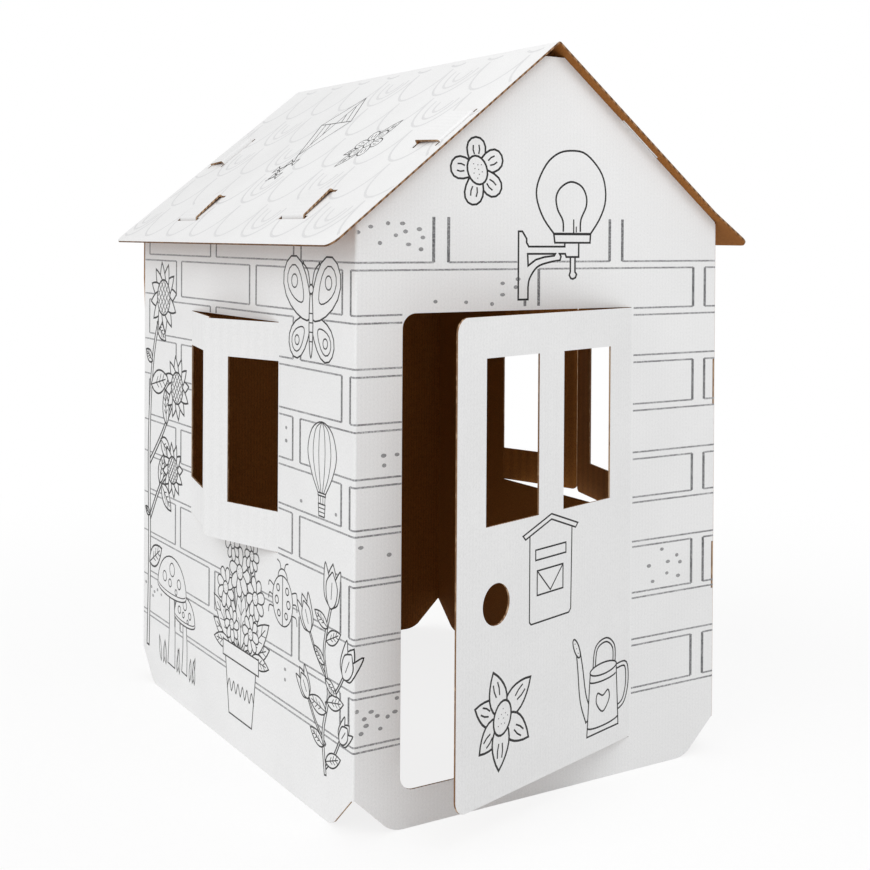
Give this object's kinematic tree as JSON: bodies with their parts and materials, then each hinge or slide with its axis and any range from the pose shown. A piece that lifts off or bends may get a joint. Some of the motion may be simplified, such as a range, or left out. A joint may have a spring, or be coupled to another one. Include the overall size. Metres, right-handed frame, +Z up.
{
  "type": "children's cardboard playhouse",
  "caption": "Child-sized colouring house of folded, die-cut card with an open door, open window shutters and a pitched roof laced onto wall tabs.",
  "frame": {"origin": "on the floor, in the middle of the part's width and depth, open door, shutters and eaves included", "axes": "+X to the right of the front, +Y from the front to the back, +Z up"},
  "size_m": [0.7922, 0.9998, 1.1485],
  "materials": {
    "wall_card": "matte white face over brown kraft",
    "wall_card_back": "matte white face over brown kraft",
    "roof_card": "matte white face over brown kraft"
  },
  "bodies": {
    "root": {"front_and_left_wall": "wall_card", "back_and_right_wall": "wall_card_back", "roof": "roof_card"}
  },
  "joints": []
}
